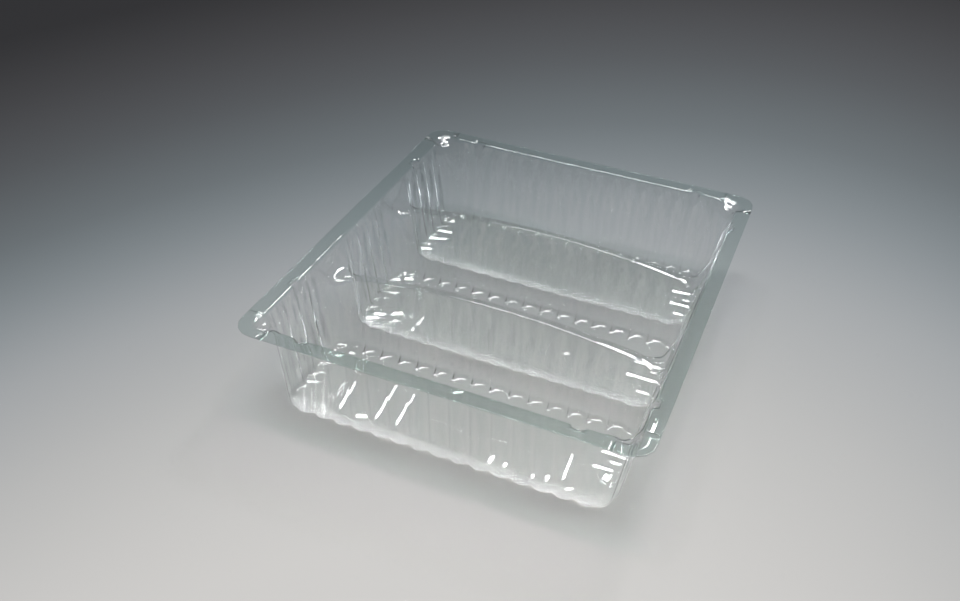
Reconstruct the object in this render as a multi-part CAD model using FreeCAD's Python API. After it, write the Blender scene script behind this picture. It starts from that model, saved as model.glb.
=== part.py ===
import FreeCAD, Part
import math
import os
from FreeCAD import Vector

# A three-row biscuit tray, thermoformed from one clear plastic sheet.
# Millimetres, +Z up. The origin is the middle of the floors' underside. The three
# troughs run along X and stand side by side in Y, with a hollow divider between them.

os.makedirs("parts", exist_ok=True)

# The sheet
sheet = 0.4             # gauge of the plastic

# The troughs, measured on the underside of their floors
trough_count = 3
floor_length = 153.4    # along X, over the bulges of the flutes
floor_width = 51.8      # along Y, over the bulges of the flutes
divider_foot = 12.9     # gap between two floors, under a divider
height = 46.0           # from the floors to the top of the rim
end_lean = 6.2          # how far the end walls spread by the rim
side_lean = 2.3         # how far the front and back walls spread by the rim
divider_lean = 5.65     # how far a divider's walls would close in by the rim

# Flutes: upright scallops that bulge out of every wall, with a cusp between two
flute_pitch = 9.3
flute_depth = 1.8
flute_flats = 5         # flat facets that make up one flute's curve
corner_room = 6.5       # the least that a rounded corner takes of a wall
corner_flats = 5
corner_round_foot = 0.70    # 0.5 is a straight chamfer, 0.71 a round corner
corner_round_rim = 0.61

# Dividers: hollow ridges with an arched crest
crest_middle = 41.0     # height of the crest half way along
crest_end = 33.0        # height of the crest at the end walls
strip_foot = 12.0       # width of the smooth end strip at the height of crest_end
strip_top = 26.4        # and at the rim

# The rim: a flat ledge round the opening and a slightly lower outer band
flange = 7.1            # from the bulges of the walls to the cut edge
rim_corner = 9.0        # radius of the rim's corners
band = 4.2              # width of the lower outer band
band_drop = 0.9
band_slope = 0.7        # run of the slope between ledge and band

# Shelves in the four corners of the opening
shelf = 8.0             # side of a shelf
shelf_depth = 3.2

# Spouts: small pressed notches that keep stacked trays apart
spout_width = 6.0       # at the rim
spout_tip = 1.4         # at the foot
spout_drop = 6.0
spout_reach = 2.6       # how far it cuts into the ledge
long_side_spouts = 60.0     # from the middle, on the front and back
left_spouts = 59.5      # from the middle, on the left end
right_spouts = 68.5     # from the middle, on the right end

overcut = 2.0           # how far a cutting shape stands past what it cuts

# Worked out from the sizes above
trough_step = floor_width + divider_foot
end_flutes = int((floor_width - 2 * corner_room) / flute_pitch)
long_flutes = int((floor_length - 2 * corner_room) / flute_pitch)
opening_x = floor_length / 2 + end_lean
opening_y = (trough_step * (trough_count - 1) + floor_width) / 2 + side_lean
rim_x = opening_x + flange
rim_y = opening_y + flange


def trough_centres():
    first = -trough_step * (trough_count - 1) / 2
    return [first + trough_step * i for i in range(trough_count)]


def divider_centres():
    first = -trough_step * (trough_count - 2) / 2
    return [first + trough_step * i for i in range(trough_count - 1)]


# Points along an arc, from its start up to but not including its end
def flats_along(start, middle, end, count):
    return Part.Arc(start, middle, end).discretize(count + 1)[:-1]


# One scalloped wall from one cusp to another; the flutes bulge to the right of the way
def fluted_wall(start, end, count):
    step = (end - start) * (1.0 / count)
    out = Vector(step.y, -step.x, 0).normalize() * flute_depth
    points = []
    for i in range(count):
        cusp = start + step * i
        points += flats_along(cusp, cusp + step * 0.5 + out, cusp + step, flute_flats)
    return points


# A rounded corner between the last cusps of two walls
def corner(start, end, inside, roundness):
    middle = inside + (start - inside) * roundness + (end - inside) * roundness
    return flats_along(start, middle, end, corner_flats)


# The fluted outline of one trough at height z, drawn inset inside the mould line.
# Each wall leans out evenly with its height, and its cusps keep their pitch.
def trough_outline(centre, front_lean, back_lean, inset, z):
    rise = z / height
    cusp_x = long_flutes * flute_pitch / 2
    cusp_y = end_flutes * flute_pitch / 2
    x = floor_length / 2 + end_lean * rise - flute_depth - inset
    front = centre - floor_width / 2 - front_lean * rise + flute_depth + inset
    back = centre + floor_width / 2 + back_lean * rise - flute_depth - inset
    low, high = centre - cusp_y, centre + cusp_y
    roundness = corner_round_foot + (corner_round_rim - corner_round_foot) * rise

    # The last cusps at each corner, the way round, and the corner's inner point
    turns = [(Vector(cusp_x, front, z), Vector(x, low, z), Vector(cusp_x, low, z)),
             (Vector(x, high, z), Vector(cusp_x, back, z), Vector(cusp_x, high, z)),
             (Vector(-cusp_x, back, z), Vector(-x, high, z), Vector(-cusp_x, high, z)),
             (Vector(-x, low, z), Vector(-cusp_x, front, z), Vector(-cusp_x, low, z))]
    points = []
    for i, (start, end, inside) in enumerate(turns):
        count = end_flutes if i % 2 else long_flutes
        points += fluted_wall(turns[i - 1][1], start, count)
        points += corner(start, end, inside, roundness)
    return points


def closed(points):
    return Part.makePolygon(points + points[:1])


# A solid between two outlines with as many points each, its walls made of flat facets
def faceted(low, high):
    faces = [Part.Face(closed(low)), Part.Face(closed(high))]
    for i, (c, d) in enumerate(zip(low, high)):
        a, b = low[i - 1], high[i - 1]
        faces += [Part.Face(closed([a, c, d])), Part.Face(closed([a, d, b]))]
    shell = Part.Shell(faces)
    shell.sewShape()
    return Part.Solid(shell).removeSplitter()


# The space of one trough, from height foot to height top
def trough(index, inset, foot, top):
    centre = trough_centres()[index]
    front_lean = side_lean if index == 0 else divider_lean
    back_lean = side_lean if index == trough_count - 1 else divider_lean
    return faceted(*[trough_outline(centre, front_lean, back_lean, inset, z) for z in (foot, top)])


# The space over one divider: an arched floor, leaning ends and sides that spread upwards
def saddle(centre, inset, sink, top):
    def end_x(z):
        return floor_length / 2 + end_lean * z / height - inset

    low = crest_end - sink
    corners = [Vector(end_x(low), 0, low), Vector(end_x(top), 0, top),
               Vector(-end_x(top), 0, top), Vector(-end_x(low), 0, low)]
    ends = [Part.makeLine(a, b) for a, b in zip(corners, corners[1:])]
    crest = Part.Arc(corners[3], Vector(0, 0, crest_middle - sink), corners[0]).toShape()
    along = Part.Face(Part.Wire(ends + [crest]))
    along = along.extrude(Vector(0, 2 * strip_top, 0))
    along.translate(Vector(0, centre - strip_top, 0))

    def half_width(z):
        spread = (z - crest_end) / (height - crest_end)
        return (strip_foot + (strip_top - strip_foot) * spread) / 2 - inset

    across = Part.Face(Part.makePolygon([
        Vector(-opening_x, centre + side * half_width(z), z)
        for side, z in ((-1, low), (1, low), (1, top), (-1, top), (-1, low))]))
    return along.common(across.extrude(Vector(2 * opening_x, 0, 0)))


# A shelf in one corner of the opening
def corner_shelf(side_x, side_y, inset, sink, top):
    side = shelf - 2 * inset
    foot = height - shelf_depth - sink
    box = Part.makeBox(side, side, top - foot)
    x = side_x * (opening_x - shelf / 2) - side / 2
    y = side_y * (opening_y - shelf / 2) - side / 2
    box.translate(Vector(x, y, foot))
    return box


# A spout in the wall that lies at distance wall from the middle, turned by angle.
# Its back slopes from the ledge down to the wall, and its cheeks close in to the tip.
def spout(wall, along, angle, inset, top):
    def section(z):
        depth = (height - z) / spout_drop
        half = (spout_width + (spout_tip - spout_width) * depth) / 2 - inset
        back = wall + spout_reach - (spout_reach + flute_depth) * depth - inset
        front = wall - 2 * flute_depth
        return [Vector(along + s * half, y, z) for s, y in
                ((-1, front), (1, front), (1, back), (-1, back))]

    foot = height - spout_drop + 2 * inset
    shape = faceted(section(foot), section(top))
    shape.rotate(Vector(0, 0, 0), Vector(0, 0, 1), angle)
    return shape


def spouts(inset, top):
    shapes = []
    for side in (-1, 1):
        shapes.append(spout(opening_y, side * long_side_spouts, 0, inset, top))
        shapes.append(spout(opening_y, side * long_side_spouts, 180, inset, top))
        shapes.append(spout(opening_x, side * right_spouts, -90, inset, top))
        shapes.append(spout(opening_x, side * left_spouts, 90, inset, top))
    return shapes


def rounded_plate(half_x, half_y, radius, z):
    corners = [(half_x - radius, half_y - radius, 0), (radius - half_x, half_y - radius, 90),
               (radius - half_x, radius - half_y, 180), (half_x - radius, radius - half_y, 270)]
    arcs = [Part.makeCircle(radius, Vector(x, y, z), Vector(0, 0, 1), turn, turn + 90)
            for x, y, turn in corners]
    edges = []
    for arc, following in zip(arcs, arcs[1:] + arcs[:1]):
        edges += [arc, Part.makeLine(arc.valueAt(arc.LastParameter),
                                     following.valueAt(following.FirstParameter))]
    return Part.Wire(edges)


# The raised ledge of the rim, with its sloping edge, drawn inset inside the mould line
def ledge(inset, foot, top):
    def outline(z):
        run = band_slope * (height - z - inset) / band_drop
        inside = band - run + inset
        return rounded_plate(rim_x - inside, rim_y - inside, rim_corner - inside, z)

    return Part.makeLoft([outline(foot), outline(top)], True, True)


def rim():
    band_top = height - band_drop
    plate = Part.Face(rounded_plate(rim_x, rim_y, rim_corner, band_top - sheet))
    plate = plate.extrude(Vector(0, 0, sheet))
    raised = ledge(0, band_top - sheet / 2, height)
    hollow = ledge(sheet, band_top - sheet - overcut, height - sheet)
    return plate.fuse(raised).cut(hollow)


# The mould's outer skin, less the space inside the tray, leaves the sheet
def tray():
    indexes = range(trough_count)
    corners = [(x, y) for x in (-1, 1) for y in (-1, 1)]
    skin = [trough(i, 0, 0, height) for i in indexes]
    skin += [saddle(c, 0, sheet, height) for c in divider_centres()]
    skin += [corner_shelf(x, y, 0, sheet, height) for x, y in corners]
    skin += spouts(0, height)

    top = height + overcut
    space = [trough(i, sheet, sheet, top) for i in indexes]
    space += [saddle(c, sheet, 0, top) for c in divider_centres()]
    space += [corner_shelf(x, y, sheet, 0, top) for x, y in corners]
    space += spouts(sheet, top)

    body = rim().fuse(skin)
    return body.cut(space[0].fuse(space[1:])).removeSplitter()


shape = tray()
shape.exportStep("parts/tray.step")
print("tray", "solids", len(shape.Solids), "valid", shape.isValid(), "faces", len(shape.Faces),
      "volume", round(shape.Volume), "box", shape.BoundBox)
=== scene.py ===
import bpy
import bmesh
import math
from mathutils import Matrix, Vector, noise


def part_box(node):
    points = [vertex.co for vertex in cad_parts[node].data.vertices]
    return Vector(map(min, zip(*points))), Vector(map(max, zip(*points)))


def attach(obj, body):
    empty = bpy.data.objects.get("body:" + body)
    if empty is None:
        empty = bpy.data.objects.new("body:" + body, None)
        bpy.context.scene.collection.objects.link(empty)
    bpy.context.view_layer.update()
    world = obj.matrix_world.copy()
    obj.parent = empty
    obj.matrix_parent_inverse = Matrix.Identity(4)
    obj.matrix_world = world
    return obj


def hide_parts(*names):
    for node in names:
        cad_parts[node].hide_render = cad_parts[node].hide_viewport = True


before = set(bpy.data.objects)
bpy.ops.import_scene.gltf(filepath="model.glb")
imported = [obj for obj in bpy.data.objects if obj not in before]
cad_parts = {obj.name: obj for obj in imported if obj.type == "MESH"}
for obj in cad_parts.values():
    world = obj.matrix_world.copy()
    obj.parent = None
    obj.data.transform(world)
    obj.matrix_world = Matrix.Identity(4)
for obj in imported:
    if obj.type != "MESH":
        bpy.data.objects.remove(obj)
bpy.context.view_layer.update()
trayLow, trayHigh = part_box("tray")
mm = 0.001
print("frame loaded")

# the tray's own sizes in millimetres, around the box that the frame gives
tray = {
    "gauge": 0.4,
    "troughs": 3,
    "flange": 7.1,          # from the bulges of the walls to the cut edge
    "dividerFoot": 12.9,
    "endLean": 6.2,
    "sideLean": 2.3,
    "dividerLean": 5.65,
    "pitch": 9.3,
    "bulge": 1.8,
    "longFlutes": 15,
    "endFlutes": 4,
    "cornerFoot": 0.70,     # 0.5 is a straight chamfer, 0.71 a round corner
    "cornerRim": 0.61,
    "crestMiddle": 41.0,
    "crestEnd": 33.0,
    "stripFoot": 12.0,
    "rimCorner": 9.0,
    "band": 4.2,
    "bandDrop": 0.9,
    "bandSlope": 0.7,
    "shelf": 8.0,
    "shelfDepth": 3.2,
    "spoutWidth": 6.0,
    "spoutTip": 1.4,
    "spoutDrop": 6.0,
    "spoutReach": 2.6,
    "longSpouts": 60.0,
    "leftSpouts": 59.5,
    "rightSpouts": 68.5,
}

# how finely the sheet is drawn, and its small radii
finish = {
    # columns of one flute, closest round its cusps
    "fluteParts": [0, 0.06, 0.13, 0.23, 0.36, 0.5, 0.64, 0.77, 0.87, 0.94],
    "cuspSteep": 5,         # a cusp's wider foot and its painted highlight are gone at a fifth of the way to the next
    "cuspRound": 1.8,       # softness of the cusp between two flutes
    "cuspRoundFoot": 1.3,
    "footRadius": 2.1,
    "footKnob": 3.3,        # the wider bend under a cusp
    "pucker": 0.5,          # the small bead where a cusp meets the far foot
    "puckerSteep": 11,
    "puckerSpread": 0.7,    # share of the bead's height that moves the sheet up and in
    "nearFootRadius": 1.1,  # under the front wall of each trough
    "rimRadius": 1.0,
    "ledgeRing": 2.1,       # a ring of the ledge that keeps the bend from spreading
    "crestRadius": 0.55,
    "crestFade": 11.0,      # how far below a divider's crest its flutes begin to close up
    "crestClosed": 1.12,    # closing reached at the crest, where 1 is fully closed
    "rimFade": 7.5,
    "spineReach": 3.0,      # how far the middle line of a floor runs on towards its ends
    "floorRings": [1.0, 0.80, 0.62, 0.46, 0.33, 0.22, 0.13, 0.06],
    "footTurns": [0, 20, 40, 60, 78],
    "wallRows": [0.0, 0.18, 0.36, 0.54, 0.70, 0.85, 0.905, 0.955, 1.0],
    "cheekTurn": 82.4,      # where a corner gives way to the cheek of an end strip
    "paintedBandWidth": 6.0,        # width of the painted band of light along the near foot of a floor
    "paintedBandFull": 1.4,    # past 1, so that the palest part has some width
    "barFade": (6, 8),      # how fast a wall's painted highlight bars begin at the foot and end at the top
    "stripLean": 0.7,       # how far the side of an end strip leans in, for its depth
    "stripLeanMost": 2.2,
    "foldPasses": 6,        # how soft the folds of the strips and shelves are
    "foldSoftness": 0.5,
    "waveScale": 0.06,
    "waveStart": (3.1, 7.7, 1.9),
    "floorWave": 0.30,
    "floorWaveRun": 8.0,    # the floor's wave dies out this far from its foot
    "wallWave": 0.10,
    "wallWaveRun": 6.0,
    "bandWave": 0.16,
    "bandWaveScale": 0.03,
    "bandShare": 0.14,      # how much of the step in the rim shows
    "bandFold": 0.5,        # width of the ring that settles the step
    "bandMiddle": 0.4,      # a ring in the band, as a share of its width
    "bandEdge": 0.35,       # width of the last ring, at the cut edge
    "joinWithin": 0.02,     # rings of two patches that meet closer than this are joined
    "dropUnder": 0.005,     # the length of an edge that is too short to keep
    "edgeWidth": 0.3,       # softening of the sharp edges that are left
    "edgeAngle": 38,
}

gauge = tray["gauge"]
height = (trayHigh.z - trayLow.z) / mm
rimX, rimY = trayHigh.x / mm, trayHigh.y / mm
openX, openY = rimX - tray["flange"], rimY - tray["flange"]
floorLength = 2 * (openX - tray["endLean"])
lastTrough = tray["troughs"] - 1
floorSpan = 2 * (openY - tray["sideLean"])
floorWidth = (floorSpan - tray["dividerFoot"] * lastTrough) / tray["troughs"]
step = floorWidth + tray["dividerFoot"]
cuspX = tray["longFlutes"] * tray["pitch"] / 2
cuspY = tray["endFlutes"] * tray["pitch"] / 2
outerCuspY = step * lastTrough / 2 + cuspY
ledgeZ = height - gauge / 2
bandZ = ledgeZ - tray["bandDrop"] * finish["bandShare"]
shelfZ = height - tray["shelfDepth"] - gauge / 2
nearFootZ = gauge / 2 + finish["nearFootRadius"] + 0.05     # just over the bend
turnSlack = 0.01        # degrees within which two columns of a corner are one


def lerp(a, b, t):
    return a + (b - a) * t


def troughCentre(i):
    return step * (i - lastTrough / 2)


def dividerCentre(i):
    return step * (i - lastTrough / 2 + 0.5)


# 1 on a cusp, and less with the distance from it; at counts the cusps along a wall
def onCusp(at, steepness):
    return 1 - abs(at - round(at)) * steepness


# how far a flute stands out from its cusps, at t from one cusp to the next
def fluteOut(t, softness):
    full = tray["bulge"]
    arc = full * (1 - (2 * t - 1) ** 2)
    highest = math.hypot(full, softness) - softness
    return (math.hypot(arc, softness) - softness) * full / highest


def cornerPower(z):
    roundness = lerp(tray["cornerFoot"], tray["cornerRim"], z / height)
    return math.log(roundness) / math.log(math.sqrt(0.5))


# angles of the columns in a corner, from its long side, with a close pair beside the shelf
def cornerTurns():
    power = cornerPower(shelfZ)
    along = (openX - tray["shelf"] - cuspX) / (openX - tray["bulge"] - cuspX)
    across = (openY - tray["shelf"] - outerCuspY) / (openY - tray["bulge"] - outerCuspY)
    first = math.degrees(math.asin(along ** (1 / power)))
    last = math.degrees(math.acos(across ** (1 / power)))
    gap = 1.2
    angles = [lerp(0, first - gap, i / 4) for i in range(5)]
    angles += [lerp(first, last, i / 6) for i in range(7)]
    angles += [lerp(last + gap, finish["cheekTurn"], i / 3) for i in range(4)]
    return angles + [90], first, last


turns, shelfFirst, shelfLast = cornerTurns()


# columns round one trough: a wall's flutes, then the corner after it
def troughColumns():
    around = []
    for side, flutes in (("front", tray["longFlutes"]), ("right", tray["endFlutes"]),
                         ("back", tray["longFlutes"]), ("left", tray["endFlutes"])):
        around += [(side, i + part) for i in range(flutes) for part in finish["fluteParts"]]
        if side in ("front", "back"):
            around += [(side + "Corner", t) for t in turns[:-1]]
        else:
            around += [(side + "Corner", 90 - t) for t in reversed(turns[1:])]
    return around


columns = troughColumns()


# a corner column's angle from the long side of its corner
def longTurn(column):
    return column[1] if column[0] in ("frontCorner", "backCorner") else 90 - column[1]


# 0 on the open wall, rising to 1 where the flutes have closed up, at a crest or under the rim
def closing(x, z, divider):
    if divider:
        share = (z - crestZ(x)) / finish["crestFade"] + finish["crestClosed"]
    else:
        share = (z - wallTop) / finish["rimFade"] + 1
    share = min(max(share, 0), 1)
    return share * share * (3 - 2 * share)


# place of one column at height z on trough i, moved inwards by inset
def outline(i, column, z, inset=0.0, softness=None):
    side, at = column
    softness = finish["cuspRound"] if softness is None else softness
    rise = z / height
    shift = tray["bulge"] + gauge / 2 + inset
    centre = troughCentre(i)
    frontLean = tray["sideLean"] if i == 0 else tray["dividerLean"]
    backLean = tray["sideLean"] if i == lastTrough else tray["dividerLean"]
    x = floorLength / 2 + tray["endLean"] * rise - shift
    front = centre - floorWidth / 2 - frontLean * rise + shift
    back = centre + floorWidth / 2 + backLean * rise - shift
    left, right = centre - cuspY, centre + cuspY
    out = fluteOut(at % 1, softness)
    if side == "front":
        along = -cuspX + at * tray["pitch"]
        out = lerp(out, tray["bulge"], closing(along, z, i > 0))
        return Vector((along, front - out, z))
    if side == "back":
        along = cuspX - at * tray["pitch"]
        out = lerp(out, tray["bulge"], closing(along, z, i < lastTrough))
        return Vector((along, back + out, z))
    ended = tray["bulge"] * closing(x, z, False)
    out = lerp(out, tray["bulge"], closing(x, z, False))
    if side == "right":
        return Vector((x + out, left + at * tray["pitch"], z))
    if side == "left":
        return Vector((-x - out, right - at * tray["pitch"], z))
    front -= tray["bulge"] * closing(cuspX, z, i > 0)
    back += tray["bulge"] * closing(cuspX, z, i < lastTrough)
    x += ended
    start, end, inside = [Vector((*spot, z)) for spot in {
        "frontCorner": ((cuspX, front), (x, left), (cuspX, left)),
        "rightCorner": ((x, right), (cuspX, back), (cuspX, right)),
        "backCorner": ((-cuspX, back), (-x, right), (-cuspX, right)),
        "leftCorner": ((-x, left), (-cuspX, front), (-cuspX, left)),
    }[side]]
    power = cornerPower(z)
    angle = math.radians(at)
    return (inside + (start - inside) * max(math.cos(angle), 0) ** power
            + (end - inside) * max(math.sin(angle), 0) ** power)


# the arched crest of a divider, at the middle of the sheet
def crestZ(x):
    half = floorLength / 2 + tray["endLean"] * tray["crestEnd"] / height
    rise = tray["crestMiddle"] - tray["crestEnd"]
    radius = (half * half + rise * rise) / (2 * rise)
    centre = tray["crestMiddle"] - radius
    return centre + math.sqrt(radius * radius - min(abs(x), half) ** 2) - gauge / 2


# the smooth end strip over a divider
def stripX(z):
    return floorLength / 2 + tray["endLean"] * z / height - gauge / 2


def stripHalf(z):
    spread = (z - tray["crestEnd"]) / (wallTop - tray["crestEnd"])
    return lerp(tray["stripFoot"] / 2 - gauge / 2, stripTopHalf, spread)


# which divider a column of trough i leans on, or None on the outer sides
def dividerOf(i, column):
    side = column[0]
    slack = 0.1
    pastCheek = side.endswith("Corner") and longTurn(column) > finish["cheekTurn"] + slack
    if side in ("left", "right") or pastCheek:
        return None
    if side in ("front", "frontCorner", "leftCorner"):
        return i - 1 if i > 0 else None
    return i if i < lastTrough else None


# how a column meets a shelf: 1 on it, 0.5 just beside it, 0 clear of it
def shelfShare(i, column):
    if not column[0].endswith("Corner") or dividerOf(i, column) is not None:
        return 0
    beside = 1.3
    turn = longTurn(column)
    if shelfFirst - turnSlack <= turn <= shelfLast + turnSlack:
        return 1
    return 0.5 if shelfFirst - beside <= turn <= shelfLast + beside else 0


# the height at which a column of the wall ends, and what it ends at
def columnTop(i, column):
    divider = dividerOf(i, column)
    if divider is None:
        return (shelfZ, "shelf") if shelfShare(i, column) == 1 else (wallTop, "rim")
    middle = dividerCentre(divider)
    crest = crestZ(outline(i, column, tray["crestEnd"]).x)
    if abs(outline(i, column, crest).y - middle) <= stripHalf(crest):
        return crest - finish["crestRadius"], "crest"
    low, high = tray["crestEnd"], wallTop
    for _ in range(30):     # halves the range until only one height is left
        z = (low + high) / 2
        if abs(outline(i, column, z).y - middle) > stripHalf(z):
            low = z
        else:
            high = z
    return low, "strip"


wallTop = ledgeZ - finish["rimRadius"]
cheekEdge = outline(0, ("rightCorner", 90 - finish["cheekTurn"]), wallTop)
stripTopHalf = dividerCentre(0) - cheekEdge.y


# the spouts: which side, and how far along it
spouts = [(side, sign * tray["longSpouts"]) for side in ("front", "back") for sign in (-1, 1)]
spouts += [("left", sign * tray["leftSpouts"]) for sign in (-1, 1)]
spouts += [("right", sign * tray["rightSpouts"]) for sign in (-1, 1)]
outward = {"front": Vector((0, -1, 0)), "back": Vector((0, 1, 0)),
           "left": Vector((-1, 0, 0)), "right": Vector((1, 0, 0))}
wallLine = {"front": openY, "back": openY, "left": openX, "right": openX}


# presses the spouts into a point of the wall or the ledge; reach is its way along the profile
def pressed(side, point, reach, wallPoint):
    along = point.x if side in ("front", "back") else point.y
    near = [a for s, a in spouts if s == side and abs(along - a) < tray["spoutWidth"]]
    if not near:
        return point
    line = wallLine[side] - gauge / 2
    wallOut = wallPoint.dot(outward[side]) - line
    foot = ledgeZ - tray["spoutDrop"]
    share = (wallOut + tray["bulge"]) / (tray["spoutReach"] + tray["bulge"])
    start = lerp(foot, ledgeZ, share)
    t = (reach - (start - ledgeZ)) / (tray["spoutReach"] - (start - ledgeZ))
    if not 0 < t < 1:
        return point
    target = point.copy()
    target.z = lerp(start, ledgeZ, t)
    out = lerp(wallOut, tray["spoutReach"], t)
    target += outward[side] * (line + out - point.dot(outward[side]))
    half = lerp(tray["spoutTip"], tray["spoutWidth"], (target.z - foot) / tray["spoutDrop"]) / 2
    cheek = 0.6
    weight = min(max((half + cheek - abs(along - near[0])) / (2 * cheek), 0), 1)
    return point.lerp(target, weight)


# uneven forming: a slow wave that keeps the sheet from being perfectly flat
def wave(point, scale, size):
    return noise.noise(point * scale + Vector(finish["waveStart"])) * size


# a grid of faces, each of whose points is put in place, and marked with its share of painted light,
# by column and row
def patch(bm, across, up, place, paleness=None):
    made = bmesh.ops.create_grid(bm, x_segments=across, y_segments=up, size=0.5)
    pale = bm.verts.layers.float["pale"]
    for v in made["verts"]:
        c, r = round((v.co.x + 0.5) * across), round((v.co.y + 0.5) * up)
        v.co = place(c, r)
        v[pale] = paleness(c, r) if paleness else 0


# one trough from the middle of its floor to the top of its walls
def addTrough(bm, i):
    rings, bends, rows = finish["floorRings"], finish["footTurns"], finish["wallRows"]
    spineX = floorLength / 2 - floorWidth / 2 + finish["spineReach"]
    tops = [columnTop(i, c)[0] for c in columns]

    # 1 along the front foot of the trough, less round its corners, 0 elsewhere
    def nearness(column):
        side, at = column
        return {"front": 1, "frontCorner": 1 - at / 90, "leftCorner": at / 90}.get(side, 0)

    # the radius at the foot, wider under every cusp but those beside a corner
    def footBend(column):
        side, at = column
        flutes = tray["longFlutes"] if side in ("front", "back") else tray["endFlutes"]
        knob = 0
        if side in outward and 0 < round(at) < flutes:
            knob = max(onCusp(at, finish["cuspSteep"]), 0)
        wide = lerp(finish["footRadius"], finish["footKnob"], knob * knob * (3 - 2 * knob))
        return lerp(wide, finish["nearFootRadius"], nearness(column))

    def floorPoint(column, share):
        edge = outline(i, column, 0, footBend(column), finish["cuspRoundFoot"])
        spine = Vector((max(-spineX, min(spineX, edge.x)), troughCentre(i), 0))
        point = edge.lerp(spine, share)
        inFrom = (edge - point).length
        rise = 0.5 + 0.5 * wave(point, finish["waveScale"], 1.0)
        share = max(rise, 0) * min(inFrom / finish["floorWaveRun"], 1)
        point.z = gauge / 2 + finish["floorWave"] * share
        return point

    def place(c, r):
        column = columns[c % len(columns)]
        radius = footBend(column)
        if r < len(rings):
            return floorPoint(column, rings[r])
        r -= len(rings)
        if r < len(bends):
            turn = math.radians(bends[r])
            softness = lerp(finish["cuspRoundFoot"], finish["cuspRound"], bends[r] / 90)
            pucker = 0
            if column[0] == "back":
                bead = max(onCusp(column[1], finish["puckerSteep"]), 0)
                pucker = finish["pucker"] * bead * math.sin(2 * turn) * finish["puckerSpread"]
            z = gauge / 2 + radius * (1 - math.cos(turn)) + pucker
            return outline(i, column, z, radius * (1 - math.sin(turn)) + pucker, softness)
        r -= len(bends)
        z = lerp(gauge / 2 + radius, tops[c % len(columns)], rows[r])
        point = outline(i, column, z)
        side = column[0]
        if dividerOf(i, column) is None and side in outward:
            point = pressed(side, point, z - ledgeZ, point)
        run = finish["wallWaveRun"]
        swell = min(z / run, (tops[c % len(columns)] - z) / run, 1)
        push = wave(point, finish["waveScale"], finish["wallWave"]) * max(swell, 0)
        return point + Vector((push, push, 0))

    # the painted light: a painted highlight on the cusps, a painted highlight bar on each cusp and
    # bulge of an end wall with painted shade in the gaps, and the painted band of light at the near
    # foot
    def paleness(c, r):
        full, steep = finish["paintedBandFull"], finish["cuspSteep"]
        column = columns[c % len(columns)]
        side, at = column
        if r < len(rings):
            inFrom = rings[r] * floorWidth / 2
            return nearness(column) * min(max(full - inFrom / finish["paintedBandWidth"] * full, 0), 1)
        r -= len(rings)
        if r < len(bends):
            return nearness(column) * (1 - bends[r] / 90)
        if side not in outward:
            return 0
        up = rows[r - len(bends)]
        begins, ends = finish["barFade"]
        fading = min(up * begins, (1 - up) * ends, 1)
        if side in ("front", "back"):
            return max(onCusp(at, steep), 0) * fading
        return max(onCusp(at * 2, steep), -1) * fading      # below 0 for the painted shade in the gaps between bars

    patch(bm, len(columns), len(rings) + len(bends) + len(rows) - 1, place, paleness)


# a divider's crest with its two smooth end strips, between trough i and the next
def addDivider(bm, i):
    middle = dividerCentre(i)
    sides = ("rightCorner", "back", "backCorner")
    chain = [c for c in columns if dividerOf(i, c) == i and c[0] in sides]
    radius = finish["crestRadius"]
    bend = radius * (1 - math.sqrt(0.5))
    last = 8

    def halfRow(column):
        top, kind = columnTop(i, column)
        edge = outline(i, column, top)
        if kind == "crest":
            away = Vector((0, middle - edge.y, 0)).normalized()
            shoulder = edge + away * bend + Vector((0, 0, radius - bend))
            level = edge + away * radius + Vector((0, 0, radius))
            centre = Vector((level.x, middle, level.z))
            return [edge, shoulder, level, level.lerp(centre, 0.5), centre]
        foot = Vector((math.copysign(stripX(top), edge.x), edge.y, top))
        lean = min(abs(foot.x - edge.x) * finish["stripLean"], finish["stripLeanMost"])
        foot.y += math.copysign(lean, middle - edge.y)
        centre = Vector((foot.x, middle, top))
        return [edge, foot, foot.lerp(centre, 0.33), foot.lerp(centre, 0.67), centre]

    halves = [halfRow(c) for c in chain]

    def place(c, r):
        point = halves[c][min(r, last - r)].copy()
        if r > last / 2:
            point.y = 2 * middle - point.y
        return point

    patch(bm, len(chain) - 1, last, place)


# a place on the way round the rim's corner, from above one side of the shelf to the other
def roundCorner(signX, signY, share, inset):
    radius = tray["rimCorner"] - inset
    straight = tray["flange"] + tray["shelf"] - tray["rimCorner"]
    way = share * (2 * straight + radius * math.pi / 2)
    x, y = openX - tray["shelf"] + way, rimY - inset
    if way > straight:
        turn = min((way - straight) / radius, math.pi / 2)
        x = rimX - tray["rimCorner"] + radius * math.sin(turn)
        y = rimY - tray["rimCorner"] + radius * math.cos(turn)
        y -= max(way - straight - radius * math.pi / 2, 0)
    return Vector((signX * x, signY * y, 0))


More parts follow.
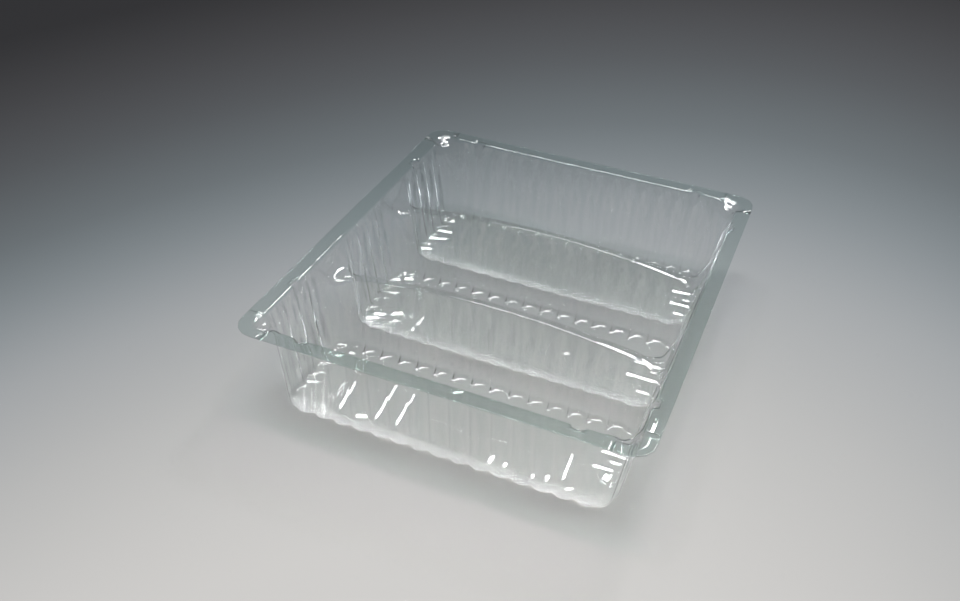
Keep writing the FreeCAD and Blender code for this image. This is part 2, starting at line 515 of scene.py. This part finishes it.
# the loop that the rim grows from: each start, its side, its share of a shelf, and its way out
def rimLoop():
    loop = []

    def straightOut(start, alongX, across=None):
        sign = math.copysign(1, start.x if alongX else start.y)
        if alongX:
            y = start.y if across is None else across
            return lambda inset: Vector((sign * (rimX - inset), y, 0))
        return lambda inset: Vector((start.x, sign * (rimY - inset), 0))

    def roundOut(signs, share):
        return lambda inset: roundCorner(*signs, share, inset)

    def take(i, names):
        for column in columns:
            if column[0] not in names or dividerOf(i, column) is not None:
                continue
            start = outline(i, column, columnTop(i, column)[0])
            turn = longTurn(column)
            if column[0] in outward:
                aim = straightOut(start, column[0] in ("left", "right"))
            elif shelfShare(i, column) == 1:
                share = (turn - shelfFirst) / (shelfLast - shelfFirst)
                signs = math.copysign(1, start.x), math.copysign(1, start.y)
                aim = roundOut(signs, share)
            else:
                aim = straightOut(start, turn > shelfLast)
            loop.append((start, column, shelfShare(i, column), aim))

    def strip(i, sign):
        middle = dividerCentre(i)
        x = sign * stripX(wallTop)
        narrow = 1 - finish["stripLean"] * (abs(x) - cheekEdge.x) / stripTopHalf
        shares = (1, narrow, narrow * 0.67, narrow * 0.33, 0,
                  -narrow * 0.33, -narrow * 0.67, -narrow, -1)
        spread = (0.965, 0.88, 0.62, 0.31, 0, -0.31, -0.62, -0.88, -0.965)      # at the cut edge
        for k, (share, wide) in enumerate(zip(shares, spread)):
            y = middle - sign * share * stripTopHalf
            start = Vector((sign * cheekEdge.x if k in (0, 8) else x, y, wallTop))
            aim = straightOut(start, True, middle - sign * wide * (step / 2 - cuspY))
            loop.append((start, ("cheek" if k in (0, 1, 7, 8) else "strip", k), 0, aim))

    take(0, ("front", "frontCorner"))
    for i in range(tray["troughs"]):
        take(i, ("right",))
        if i < lastTrough:
            take(i, ("rightCorner",))
            strip(i, 1)
    take(lastTrough, ("rightCorner", "back", "backCorner"))
    for i in reversed(range(tray["troughs"])):
        take(i, ("left",))
        if i > 0:
            take(i, ("leftCorner",))
            strip(i - 1, -1)
    take(0, ("leftCorner",))
    return loop


# where a corner column meets the outer sides of the shelf
def shelfEdge(start, column):
    share = min(max((longTurn(column) - shelfFirst) / (shelfLast - shelfFirst), 0), 1)
    farX, farY = openX - gauge / 2, openY - gauge / 2
    x = lerp(openX - tray["shelf"], farX, min(share * 2, 1))
    y = lerp(farY, openY - tray["shelf"], max(share * 2 - 1, 0))
    clear = 0.25
    if longTurn(column) < shelfFirst - turnSlack:
        x -= clear
    if longTurn(column) > shelfLast + turnSlack:
        y -= clear
    return Vector((math.copysign(x, start.x), math.copysign(y, start.y), 0))


# the ledge and the band, out to the cut edge
def addRim(bm):
    loop = rimLoop()
    bandInset = tray["band"] - tray["bandSlope"]
    profile = [(tray["band"], ledgeZ), (bandInset, bandZ), (bandInset - finish["bandFold"], bandZ),
               (bandInset * finish["bandMiddle"], bandZ), (finish["bandEdge"], bandZ), (0.0, bandZ)]
    bend = finish["rimRadius"]
    early, later = bend * 0.134, bend * 0.5     # after 30 and 60 degrees of the bend's 90
    steps = [0.0, early, later, bend, finish["ledgeRing"], tray["spoutReach"]]
    drops = [bend, later, early, 0.0, 0.0, 0.0]
    waveFrom = len(steps) + 3       # the first ring of the band that waves

    def onShelf(start, column, share, aim, r):
        edge = shelfEdge(start, column)
        if share == 1 and r < len(steps) - 1:
            point = start.lerp(edge, r / (len(steps) - 2))
            point.z = shelfZ
            return point
        apart = 0.0 if r < len(steps) - 1 else 0.05     # keeps the last two rings apart
        point = edge.lerp(aim(tray["band"]), apart)
        point.z = ledgeZ
        return point

    def place(c, r):
        start, column, share, aim = loop[c % len(loop)]
        if r >= len(steps):
            inset, z = profile[r - len(steps)]
            point = aim(inset)
            point.z = z
            if r >= waveFrom:
                lift = wave(point, finish["bandWaveScale"], finish["bandWave"])
                point.z += lift * (bandInset - inset) / bandInset
            return point
        if share == 1 or share == 0.5 and r > 3:
            return onShelf(start, column, share, aim, r)
        way = aim(tray["band"]) - start
        way.z = 0
        if column[0] == "cheek":
            lane = 0.4 if column[1] in (0, 8) else 0.2      # steps aside from the strip
            side = 1 if column[1] > 4 else -1
            way = Vector((way.x, 0, 0)).normalized() * steps[r]
            way.y = math.copysign(1, start.x) * side * lane * min(steps[r] / bend, 1)
            point = start + way
        else:
            point = start + way.normalized() * steps[r]
        point.z = ledgeZ - drops[r]
        if column[0] in outward:
            point = pressed(column[0], point, steps[r] - drops[r], start)
        return point

    patch(bm, len(loop), len(steps) + len(profile) - 1, place)


# how far the soft folds reach round the shelves and the end strips
softFold = {
    "besideShelf": 1.6,
    "underShelf": 3.0,
    "pastOpening": 1.2,
    "withinCusps": 0.4,     # the strips' folds stay this far from the last cusps of the ends
    "alongDivider": 2.0,
    "pastStrip": 1.6,
    "underCrest": 9.0,
}


# the end strips and the shelves, whose folds are soft in a formed sheet
def inSoftFold(point):
    x, y = abs(point.x), abs(point.y)
    inward = tray["shelf"] + softFold["besideShelf"]
    if x > openX - inward and y > openY - inward:
        past = softFold["pastOpening"]
        return point.z > shelfZ - softFold["underShelf"] and x < openX + past and y < openY + past
    reach = step / 2 - cuspY - softFold["withinCusps"]
    if all(abs(point.y - dividerCentre(i)) >= reach for i in range(lastTrough)):
        return False
    onEnd = cuspX - softFold["alongDivider"] < x < openX + softFold["pastStrip"]
    return onEnd and point.z > tray["crestEnd"] - softFold["underCrest"]


# folds in the floors: x and y of the start and end, width of the crisp side and the other, height
folds = {
    "rightEnds": [
        (62.2, -56.9, 74.6, -57.4, 0.85, 1.7, 0.29), (60.6, -66.9, 71.5, -66.3, 0.85, 1.7, 0.29),
        (66.5, -61.6, 73.0, -61.8, 0.7, 1.4, 0.24), (58.4, 5.7, 73.4, 5.7, 0.9, 1.8, 0.375),
        (56.5, -4.7, 74.2, -4.8, 0.9, 1.8, 0.375), (64.2, -14.4, 73.6, -14.2, 0.8, 1.6, 0.33),
        (67.0, 1.0, 73.6, 0.8, 0.6, 1.2, 0.25), (60.2, 68.4, 72.2, 69.0, 0.85, 1.7, 0.41),
        (61.2, 58.0, 74.2, 58.4, 0.85, 1.7, 0.41), (65.0, 50.1, 71.5, 50.5, 0.8, 1.6, 0.385),
        (66.5, 63.0, 73.0, 63.2, 0.6, 1.2, 0.29),
    ],
    "leftEnds": [
        (-75.4, 48.2, -67.6, 50.2, 0.85, 1.7, 0.41), (-75.2, 52.8, -70.4, 54.2, 0.7, 1.4, 0.34),
        (-75.8, 59.0, -64.2, 62.5, 0.85, 1.7, 0.41), (-74.9, 68.0, -64.7, 69.5, 0.85, 1.7, 0.40),
        (-75.2, 73.6, -70.0, 74.8, 0.7, 1.4, 0.33), (-74.9, 79.4, -68.0, 80.6, 0.85, 1.7, 0.40),
        (-75.8, -1.2, -69.5, 0.7, 0.85, 1.7, 0.35), (-75.0, 4.4, -66.0, 6.8, 0.85, 1.7, 0.35),
        (-75.2, 10.6, -69.0, 12.6, 0.85, 1.7, 0.35), (-75.0, 15.8, -70.4, 17.2, 0.7, 1.4, 0.29),
        (-75.6, -64.6, -69.0, -62.7, 0.85, 1.7, 0.285),
        (-75.4, -71.8, -68.0, -69.4, 0.85, 1.7, 0.285),
        (-75.2, -57.4, -70.2, -55.8, 0.8, 1.6, 0.27), (-75.0, -50.6, -67.5, -48.2, 0.85, 1.7, 0.29),
    ],
    "longCreases": [
        (-52.0, -82.0, -54.7, -55.9, 0.8, 1.6, 0.29), (-34.3, -81.5, -36.1, -55.7, 0.8, 1.6, 0.265),
        (-24.5, -80.4, -26.0, -57.7, 0.7, 1.4, 0.215), (52.6, -80.6, 51.2, -57.9, 0.8, 1.6, 0.125),
        (-11.7, -51.5, -4.9, -46.6, 0.8, 1.6, 0.335), (-47.4, -19.0, -46.6, -5.0, 0.8, 1.6, 0.28),
        (25.4, -3.9, 29.8, -2.0, 0.7, 1.4, 0.31),
    ],
    "dents": [
        (-44.1, -82.5, -37.3, -79.6, 1.3, 2.2, 0.42), (20.9, -84.8, 21.0, -79.0, 1.3, 1.8, 0.285),
        (27.4, -84.4, 27.5, -79.4, 1.2, 1.7, 0.25), (40.6, -85.4, 40.4, -81.0, 1.0, 1.5, 0.18),
        (46.1, -84.0, 46.2, -78.8, 1.2, 1.7, 0.20), (67.4, -75.0, 68.5, -68.4, 2.4, 2.6, 0.29),
        (71.4, -75.8, 72.0, -71.6, 1.1, 1.6, 0.12), (54.9, -84.3, 58.6, -82.6, 0.7, 1.2, 0.235),
    ],
    "crumples": [
        (-74.6, -23.6, -66.0, -20.4, 1.5, 2.4, 0.63), (-73.4, -18.9, -64.5, -15.9, 1.4, 2.2, 0.58),
        (-71.5, -14.8, -64.0, -12.2, 1.2, 2.0, 0.50), (-62.6, -10.6, -56.2, -7.4, 1.4, 2.0, 0.61),
        (-60.6, -16.6, -55.4, -13.4, 0.9, 1.5, 0.40), (-75.6, -9.4, -71.0, -8.0, 0.9, 1.5, 0.37),
        (-75.5, 21.6, -70.0, 22.8, 1.2, 2.0, 0.49), (-71.0, 18.6, -64.5, 20.8, 1.1, 1.8, 0.48),
        (-66.5, 23.6, -61.0, 25.0, 1.0, 1.6, 0.42), (-75.5, -44.4, -70.0, -42.6, 1.2, 2.0, 0.43),
        (-70.0, -41.5, -64.5, -39.6, 1.0, 1.6, 0.36), (-68.0, -46.4, -63.0, -44.4, 1.0, 1.6, 0.36),
        (-75.0, 84.0, -69.0, 85.6, 1.1, 1.8, 0.52),
    ],
}


press = {
    "endFade": 1.6,         # run over which a fold rises from either end
    "margin": 0.1,          # faces this far past its ends are cut too
    "upright": 0.8,         # the least rise of a face's normal on a floor
    "aboveFloor": 0.85,     # and the most that its points stand over the waves
    "cutSnap": 0.01,
}


# presses one straight fold into a floor: a fine ridge with one crisp side
def pressFold(bm, fold):
    x1, y1, x2, y2, crisp, soft, lift = fold
    start, end = Vector((x1, y1, 0)), Vector((x2, y2, 0))
    length = (end - start).length
    along = (end - start).normalized()
    across = Vector((along.y, -along.x, 0))
    fade = min(press["endFade"], length / 3)
    top = gauge / 2 + finish["floorWave"] + press["aboveFloor"]

    def onFloor(face):
        return face.normal.z > press["upright"] and max(v.co.z for v in face.verts) < top

    def spans(face):
        places = [(v.co - start) for v in face.verts]
        ways = [p.dot(along) for p in places]
        sides = [p.dot(across) for p in places]
        inLength = max(ways) > -press["margin"] and min(ways) < length + press["margin"]
        return inLength and max(sides) > -soft and min(sides) < crisp

    faces = [f for f in bm.faces if onFloor(f) and spans(f)]
    geom = faces + list(dict.fromkeys(e for f in faces for e in f.edges))
    geom += list(dict.fromkeys(v for f in faces for v in f.verts))
    cuts = [(start + across * k, across) for k in (-soft, 0, crisp)]
    cuts += [(start + along * k, along) for k in (0, fade, length - fade, length)]
    for place, normal in cuts:
        cut = bmesh.ops.bisect_plane(bm, geom=geom, dist=press["cutSnap"], plane_co=place,
                                     plane_no=normal)
        geom = cut["geom"]
    for v in (g for g in geom if isinstance(g, bmesh.types.BMVert)):
        way, side = (v.co - start).dot(along), (v.co - start).dot(across)
        share = 1 - side / crisp if side > 0 else 1 + side / soft
        ends = min(way / fade, (length - way) / fade, 1)
        v.co.z += lift * max(share, 0) * max(ends, 0)
    for f in (g for g in geom if isinstance(g, bmesh.types.BMFace)):
        middle = f.calc_center_median() - start
        if 0 < middle.dot(across) < crisp and 0 < middle.dot(along) < length:
            f.smooth = False


# paints light on the near feet: gives them the less clear materials, which look whiter, the last of
# them where the painted band is palest
def paintLightOnNearFeet(bm):
    pale = bm.verts.layers.float["pale"]
    for f in bm.faces:
        if max(v.co.z for v in f.verts) < nearFootZ:
            share = sum(v[pale] for v in f.verts) / len(f.verts)
            f.material_index = sum(share > least for least in clearPlastic["paintedBandClearness"])


# joins the troughs, the dividers and the rim into the middle surface of the sheet
def closeSheet():
    bm = bmesh.new()
    bm.verts.layers.float.new("pale")
    for i in range(tray["troughs"]):
        addTrough(bm, i)
    for i in range(lastTrough):
        addDivider(bm, i)
    addRim(bm)
    bmesh.ops.remove_doubles(bm, verts=bm.verts, dist=finish["joinWithin"])
    bmesh.ops.dissolve_degenerate(bm, edges=bm.edges, dist=finish["dropUnder"])
    soft = [v for v in bm.verts if inSoftFold(v.co)]
    for _ in range(finish["foldPasses"]):
        bmesh.ops.smooth_vert(bm, verts=soft, factor=finish["foldSoftness"],
                              use_axis_x=True, use_axis_y=True, use_axis_z=True)
    bmesh.ops.recalc_face_normals(bm, faces=bm.faces)
    floorFace = min(bm.faces, key=lambda f: f.calc_center_median().z)
    if floorFace.normal.z < 0:
        bmesh.ops.reverse_faces(bm, faces=bm.faces)
    for f in bm.faces:
        f.smooth = True
    bm.normal_update()
    for group in folds.values():
        for fold in group:
            pressFold(bm, fold)
    print("folds pressed")
    paintLightOnNearFeet(bm)
    openEdges = [e for e in bm.edges if e.is_boundary]
    stray = [e for e in openEdges if min(v.co.z for v in e.verts) < bandZ - 1]
    looseJoins = [e for e in bm.edges if not e.is_manifold and not e.is_boundary]
    print("sheet faces", len(bm.faces), "open edges", len(openEdges),
          "inner open edges", len(stray), "loose joins", len(looseJoins))
    bmesh.ops.scale(bm, vec=(mm, mm, mm), verts=bm.verts)
    mesh = bpy.data.meshes.new("clearTray")
    bm.to_mesh(mesh)
    bm.free()
    piece = bpy.data.objects.new("clearTray", mesh)
    bpy.context.scene.collection.objects.link(piece)
    return piece


# softens the sharp edges that are left, and gives the sheet its thickness
def dressSheet(piece):
    soften = piece.modifiers.new("softEdges", "BEVEL")
    soften.width = finish["edgeWidth"] * mm
    soften.segments = 2
    soften.limit_method = "ANGLE"
    soften.angle_limit = math.radians(finish["edgeAngle"])
    soften.use_clamp_overlap = True
    wall = piece.modifiers.new("gauge", "SOLIDIFY")
    wall.thickness = gauge * mm
    wall.offset = 0
    wall.use_even_offset = False
    wall.use_quality_normals = True


clearPlastic = {
    "tint": (0.945, 0.965, 0.96),
    "rimTint": (0.80, 0.885, 0.865),    # the rim looks a little greener
    "paintedGapShade": (0.66, 0.70, 0.705),     # painted shade in the gaps between the painted highlight bars of an end wall
    # the pale tone of the painted highlights and of the painted band of light at the near feet
    "paintedPaleTone": (1.0, 1.0, 1.0),
    "paintedBandClearness": {0.2: 0.93, 0.7: 0.84},     # painted light: how clear the near feet are, from a share of pale, where less clear looks whiter
    "ior": 1.05,
    "coatIor": 1.75,
    "coatRoughness": 0.02,
    "smear": (38.0, 3.0),       # scale and detail
    "smearRange": (0.35, 0.75),
    "roughness": (0.0, 0.035),
    "paintedStreaks": (420.0, 2.0),    # painted highlights: pale upright streaks down the walls
    "streakStretch": (1, 1, 0.12),
    "streakRange": (0.40, 0.66),
    "wallFrom": (2.0, 7.0),     # heights between which the painted streaks come in
    "rimFrom": (1.6, 0.4),      # and how far under the ledge they go out again
    "ripple": (55.0, 2.0),
    "rippleHeight": 0.00006,
}


def addNoise(tree, place, settings):
    field = tree.nodes.new("ShaderNodeTexNoise")
    field.inputs["Scale"].default_value, field.inputs["Detail"].default_value = settings
    tree.links.new(place, field.inputs["Vector"])
    return field.outputs["Fac"]


# takes a value from one range to another
def addRange(tree, value, known, wanted=(0, 1)):
    share = tree.nodes.new("ShaderNodeMapRange")
    share.inputs["From Min"].default_value, share.inputs["From Max"].default_value = known
    share.inputs["To Min"].default_value, share.inputs["To Max"].default_value = wanted
    tree.links.new(value, share.inputs["Value"])
    return share.outputs["Result"]


def addMaths(tree, operation, first, second):
    maths = tree.nodes.new("ShaderNodeMath")
    maths.operation = operation
    tree.links.new(first, maths.inputs[0])
    tree.links.new(second, maths.inputs[1])
    return maths.outputs["Value"]


def addBlend(tree, first, second, share):
    blend = tree.nodes.new("ShaderNodeMix")
    blend.data_type = "RGBA"
    tree.links.new(first, blend.inputs["A"])
    tree.links.new(second, blend.inputs["B"])
    tree.links.new(share, blend.inputs["Factor"])
    return blend.outputs["Result"]


# the tones of the formed sheet, its painted highlights and painted streaks, the painted shade in
# the end walls' gaps and the painted band of light at the near feet, with its roughness and
# ripples; shared by its clear material and the less clear ones of the near feet
def sheetPaintedLightGroup():
    tree = bpy.data.node_groups.new("sheetToneAndPaintedLight", "ShaderNodeTree")
    for way, sockets in (
            ("INPUT", {"place": "Vector", "pale": "Float", "tint": "Color", "rimTint": "Color",
                       "paintedGapShade": "Color", "paintedPaleTone": "Color"}),
            ("OUTPUT", {"colour": "Color", "roughness": "Float", "ripple": "Float"})):
        for name, kind in sockets.items():
            tree.interface.new_socket(name=name, in_out=way, socket_type="NodeSocket" + kind)
    given = tree.nodes.new("NodeGroupInput").outputs
    made = tree.nodes.new("NodeGroupOutput").inputs
    smear = addNoise(tree, given["place"], clearPlastic["smear"])
    rough = addRange(tree, smear, clearPlastic["smearRange"], clearPlastic["roughness"])
    stretch = tree.nodes.new("ShaderNodeMapping")
    stretch.inputs["Scale"].default_value = clearPlastic["streakStretch"]
    tree.links.new(given["place"], stretch.inputs["Vector"])
    paintedStreaks = addNoise(tree, stretch.outputs["Vector"], clearPlastic["paintedStreaks"])
    streakTone = addRange(tree, paintedStreaks, clearPlastic["streakRange"])
    heightOf = tree.nodes.new("ShaderNodeSeparateXYZ")
    tree.links.new(given["place"], heightOf.inputs["Vector"])
    wallFrom = [z * mm for z in clearPlastic["wallFrom"]]
    rimFrom = [(ledgeZ - drop) * mm for drop in clearPlastic["rimFrom"]]
    onWall = addRange(tree, heightOf.outputs["Z"], wallFrom)
    onRim = addRange(tree, heightOf.outputs["Z"], rimFrom)
    wallOnly = addMaths(tree, "SUBTRACT", onWall, onRim)
    paintedWallStreaks = addMaths(tree, "MULTIPLY", streakTone, wallOnly)
    # the mark of painted light, with the painted streaks added
    pale = addMaths(tree, "MAXIMUM", given["pale"], paintedWallStreaks)
    ground = addBlend(tree, given["tint"], given["rimTint"], onRim)
    # painted shade in the gaps of the end walls, where the mark is below 0
    inGap = addRange(tree, given["pale"], (0, -1))
    walls = addBlend(tree, ground, given["paintedGapShade"], inGap)
    # painted light: the cusps, bars, streaks and near feet are lightened towards the pale tone
    tree.links.new(addBlend(tree, walls, given["paintedPaleTone"], pale), made["colour"])
    tree.links.new(rough, made["roughness"])
    tree.links.new(addNoise(tree, given["place"], clearPlastic["ripple"]), made["ripple"])
    return tree


def clearPlasticMaterial(name, clearness, group):
    mat = bpy.data.materials.new(name)
    mat.use_nodes = True
    nodes, links = mat.node_tree.nodes, mat.node_tree.links
    shader = nodes["Principled BSDF"]
    shader.inputs["Transmission Weight"].default_value = clearness
    shader.inputs["IOR"].default_value = clearPlastic["ior"]
    shader.inputs["Coat Weight"].default_value = 1.0
    shader.inputs["Coat IOR"].default_value = clearPlastic["coatIor"]
    shader.inputs["Coat Roughness"].default_value = clearPlastic["coatRoughness"]
    place = nodes.new("ShaderNodeTexCoord")
    pale = nodes.new("ShaderNodeAttribute")     # the painted light of the cusps, bars and near feet
    pale.attribute_name = "pale"
    sheet = nodes.new("ShaderNodeGroup")
    sheet.node_tree = group
    for tone in ("tint", "rimTint", "paintedGapShade", "paintedPaleTone"):
        sheet.inputs[tone].default_value = (*clearPlastic[tone], 1)
    links.new(place.outputs["Object"], sheet.inputs["place"])
    links.new(pale.outputs["Fac"], sheet.inputs["pale"])
    links.new(sheet.outputs["colour"], shader.inputs["Base Color"])
    links.new(sheet.outputs["roughness"], shader.inputs["Roughness"])
    bump = nodes.new("ShaderNodeBump")
    bump.inputs["Distance"].default_value = clearPlastic["rippleHeight"]
    links.new(sheet.outputs["ripple"], bump.inputs["Height"])
    links.new(bump.outputs["Normal"], shader.inputs["Normal"])
    links.new(bump.outputs["Normal"], shader.inputs["Coat Normal"])     # or the coat stays smooth
    return mat


piece = closeSheet()
dressSheet(piece)
sheetToneAndPaintedLight = sheetPaintedLightGroup()
piece.data.materials.append(clearPlasticMaterial("clearPlastic", 1.0, sheetToneAndPaintedLight))
# less clear copies of the material, which paint the band of light along the near feet
for k, clearness in enumerate(clearPlastic["paintedBandClearness"].values()):
    paintedBandMaterial = clearPlasticMaterial(f"paintedLightFoot{k + 1}", clearness, sheetToneAndPaintedLight)
    piece.data.materials.append(paintedBandMaterial)
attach(piece, "root")
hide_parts("tray")
print("sheet made")

stage = {
    "floorSize": 6.0,
    "airGap": 0.0001,       # a hair of air between the paper and the tray
    "poolCentre": (0.064, -0.50, 0),    # the middle of the painted pool of light on the floor
    "poolTurn": 86.1,
    "poolStretch": 1.714,
    "reach": 0.7,           # from that middle to the last of the painted tones
    "paintedFloorLight": [
        (0.32, (0.60, 0.585, 0.565)), (0.42, (0.43, 0.43, 0.422)),
        (0.50, (0.33, 0.342, 0.352)), (0.57, (0.20, 0.225, 0.238)),
        (0.64, (0.122, 0.14, 0.149)), (0.74, (0.074, 0.078, 0.084)),
        (0.86, (0.048, 0.048, 0.051)), (1.0, (0.022, 0.022, 0.024)),
    ],
    "paperRoughness": 0.9,
    "paperGloss": 0.1,
    "air": (0.16, 0.165, 0.175),
}

# soft lamps: where each hangs, what it faces, its width and depth, and its power in watts
lamps = {
    "overheadSoft": ((0.0, 0.15, 2.2), (0, 0, 0), (1.6, 0.22), 28.0),
    "wideSoft": ((0.0, 0.45, 2.0), (0, 0, 0), (1.8, 1.1), 15.0),
    "backSoft": ((0.12, 0.72, 0.98), (0, 0, 0.02), (0.14, 0.24), 3.0),
}


# one broad floor, painted pale round the tray and darker where it runs away behind: a painted pool
# of light and its falloff
def addFloor():
    bm = bmesh.new()
    bmesh.ops.create_grid(bm, x_segments=1, y_segments=1, size=stage["floorSize"] / 2)
    bmesh.ops.translate(bm, vec=(0, 0, -stage["airGap"]), verts=bm.verts)
    mesh = bpy.data.meshes.new("studioFloor")
    bm.to_mesh(mesh)
    bm.free()
    floor = bpy.data.objects.new("studioFloor", mesh)
    bpy.context.scene.collection.objects.link(floor)
    mat = bpy.data.materials.new("paperFloor")
    mat.use_nodes = True
    nodes, links = mat.node_tree.nodes, mat.node_tree.links
    shader = nodes["Principled BSDF"]
    shader.inputs["Roughness"].default_value = stage["paperRoughness"]
    shader.inputs["Specular IOR Level"].default_value = stage["paperGloss"]
    place = nodes.new("ShaderNodeTexCoord")
    pool = nodes.new("ShaderNodeMapping")
    pool.vector_type = "TEXTURE"
    pool.inputs["Location"].default_value = stage["poolCentre"]
    pool.inputs["Rotation"].default_value = (0, 0, math.radians(stage["poolTurn"]))
    pool.inputs["Scale"].default_value = (stage["poolStretch"], 1, 1)
    links.new(place.outputs["Object"], pool.inputs["Vector"])
    away = nodes.new("ShaderNodeVectorMath")
    away.operation = "LENGTH"
    links.new(pool.outputs["Vector"], away.inputs[0])
    share = nodes.new("ShaderNodeMath")
    share.operation = "DIVIDE"
    share.inputs[1].default_value = stage["reach"]
    links.new(away.outputs["Value"], share.inputs[0])
    ramp = nodes.new("ShaderNodeValToRGB")
    ramp.color_ramp.interpolation = "B_SPLINE"
    stops = ramp.color_ramp.elements
    while len(stops) < len(stage["paintedFloorLight"]):
        stops.new(0.5)      # anywhere, since each is put in place next
    for stop, (at, tone) in zip(stops, stage["paintedFloorLight"]):
        stop.position = at
        stop.color = (*tone, 1)
    links.new(share.outputs["Value"], ramp.inputs["Fac"])
    links.new(ramp.outputs["Color"], shader.inputs["Base Color"])
    floor.data.materials.append(mat)


def addLamp(name, place, aim, size, power):
    lamp = bpy.data.lights.new(name, "AREA")
    lamp.shape = "RECTANGLE"
    lamp.size, lamp.size_y = size
    lamp.energy = power
    holder = bpy.data.objects.new(name, lamp)
    holder.location = place
    holder.rotation_euler = (Vector(aim) - Vector(place)).to_track_quat("-Z", "Y").to_euler()
    bpy.context.scene.collection.objects.link(holder)


def addWorld():
    world = bpy.data.worlds.new("studioAir")
    bpy.context.scene.world = world
    world.use_nodes = True
    world.node_tree.nodes["Background"].inputs["Color"].default_value = (*stage["air"], 1)


addFloor()
addWorld()
for name, settings in lamps.items():
    addLamp(name, *settings)
bpy.context.scene.cycles.blur_glossy = 0    # keeps the light that falls through the sheet sharp
bpy.context.scene.cycles.sample_clamp_indirect = 0      # and bright
print("stage set")

# metres and degrees, but millimetres for the lens and its sensor
camera = {
    "lens": 36.886,
    "sensor": 36,
    "clip": (0.01, 50),
    "aim": (-0.01657, -0.00604, 0.020),
    "azimuth": 22.241,
    "elevation": 37.207,
    "roll": 1.704,
    "distance": 0.46982,
}


def addCamera():
    data = bpy.data.cameras.new("camera")
    data.lens = camera["lens"]
    data.sensor_width = camera["sensor"]
    data.clip_start, data.clip_end = camera["clip"]
    holder = bpy.data.objects.new("camera", data)
    turn, lift = math.radians(camera["azimuth"]), math.radians(camera["elevation"])
    back = Vector((math.sin(turn) * math.cos(lift), -math.cos(turn) * math.cos(lift),
                   math.sin(lift)))
    holder.matrix_world = (Matrix.Translation(Vector(camera["aim"]) + back * camera["distance"])
                           @ (-back).to_track_quat("-Z", "Y").to_matrix().to_4x4()
                           @ Matrix.Rotation(math.radians(camera["roll"]), 4, "Z"))
    bpy.context.scene.collection.objects.link(holder)
    bpy.context.scene.camera = holder


addCamera()
bpy.context.scene.view_settings.view_transform = "Standard"
